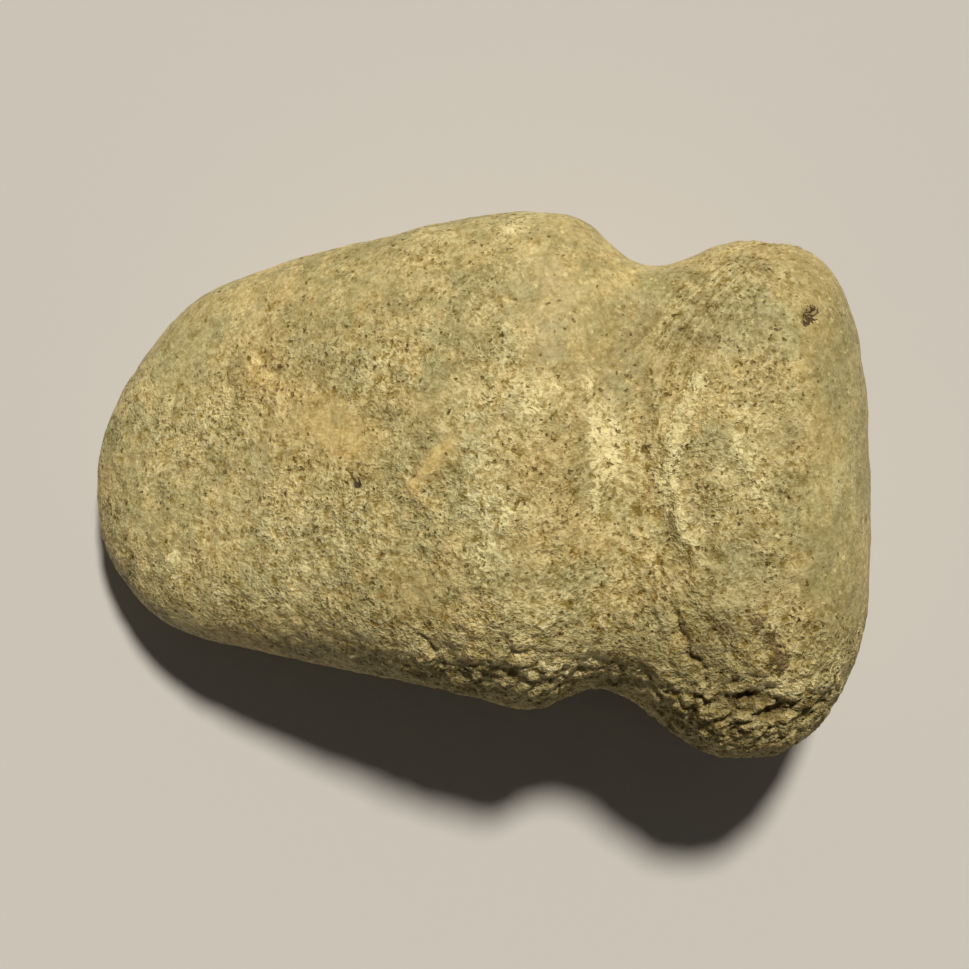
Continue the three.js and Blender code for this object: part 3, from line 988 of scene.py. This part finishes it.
FILL_FROM = Vector((-0.3, -0.9, 0.55))
FILL_WIDTH = 0.9
FILL_POWER = 0.16
FILL_COLOUR = (1.0, 0.93, 0.82)

ROOM_COLOUR = (1.0, 0.95, 0.88, 1)
ROOM_STRENGTH = 0.055
WALL_COLOUR = (0.60, 0.57, 0.52, 1)

CAMERA_TILT = math.radians(5)
CAMERA_DISTANCE = 320 * MM
CAMERA_AIM = MIDDLE + Vector((2.0, -0.25, -2.0)) * MM
SENSOR_WIDTH = 36        # this and the lens in millimetres
LENS = 66.8
NEAREST_SEEN = 0.01      # metres


def in_scene(thing):
    bpy.context.scene.collection.objects.link(thing)
    return thing


def aim(thing, toward):
    """Turns a lamp or the camera to look along a direction."""
    thing.rotation_euler = toward.to_track_quat("-Z", "Y").to_euler()


def floor_sheet():
    """A wide sheet of pale paper, dull and plain."""
    paper = bpy.data.materials.new("pale_paper")
    paper.use_nodes = True
    nodes = Nodes(paper.node_tree)
    nodes.feed_named(paper.node_tree.nodes["Principled BSDF"], Base_Color=PAPER, Roughness=PAPER_DULLNESS)
    mesh = bpy.data.meshes.new("floor")
    bm = bmesh.new()
    bmesh.ops.create_grid(bm, x_segments=1, y_segments=1, size=FLOOR_HALF_WIDTH)
    bm.to_mesh(mesh)
    bm.free()
    mesh.materials.append(paper)
    floor = in_scene(bpy.data.objects.new("floor", mesh))
    floor.location.z = CAD_LOW.z - FLOOR_GAP * MM
    return floor


def key_light():
    """A wide, soft light from far off behind the back edge, so that it falls evenly over the whole floor."""
    key = bpy.data.lights.new("key", "SUN")
    key.angle = KEY_SOFTNESS
    key.energy = KEY_STRENGTH
    key.color = KEY_COLOUR
    lamp = in_scene(bpy.data.objects.new("key", key))
    aim(lamp, -Vector((KEY_ASIDE, math.cos(KEY_HEIGHT), math.sin(KEY_HEIGHT))))


def fill_light():
    """A weak, broad light from the front that lifts the shaded side."""
    fill = bpy.data.lights.new("fill", "AREA")
    fill.shape = "DISK"
    fill.size = FILL_WIDTH
    fill.energy = FILL_POWER
    fill.color = FILL_COLOUR
    lamp = in_scene(bpy.data.objects.new("fill", fill))
    lamp.location = MIDDLE + FILL_FROM
    lamp.visible_camera = False
    aim(lamp, -FILL_FROM)


def studio():
    """A dim room, so that the key light shapes the stone; its wall shows behind the floor as pale paper."""
    world = bpy.data.worlds.new("studio")
    world.use_nodes = True
    nodes = Nodes(world.node_tree)
    room = world.node_tree.nodes["Background"]
    nodes.feed_named(room, Color=ROOM_COLOUR, Strength=ROOM_STRENGTH)
    wall = nodes.add("ShaderNodeBackground")
    nodes.feed_named(wall, Color=WALL_COLOUR)
    seen = nodes.add("ShaderNodeMixShader")
    nodes.feed(seen.inputs[0], nodes.add("ShaderNodeLightPath").outputs["Is Camera Ray"])
    nodes.feed(seen.inputs[1], room.outputs[0])
    nodes.feed(seen.inputs[2], wall.outputs[0])
    nodes.feed_named(world.node_tree.nodes["World Output"], Surface=seen.outputs[0])
    return world


def camera_above():
    """A camera that looks down on the stone, from a little to the front of it."""
    data = bpy.data.cameras.new("camera")
    data.sensor_width = SENSOR_WIDTH
    data.lens = LENS
    data.clip_start = NEAREST_SEEN
    camera = in_scene(bpy.data.objects.new("camera", data))
    away = Vector((0, -math.sin(CAMERA_TILT), math.cos(CAMERA_TILT)))
    camera.location = CAMERA_AIM + away * CAMERA_DISTANCE
    aim(camera, -away)
    return camera


floor = floor_sheet()
key_light()
fill_light()
bpy.context.scene.world = studio()
bpy.context.scene.view_settings.view_transform = "Standard"
bpy.context.scene.camera = camera_above()
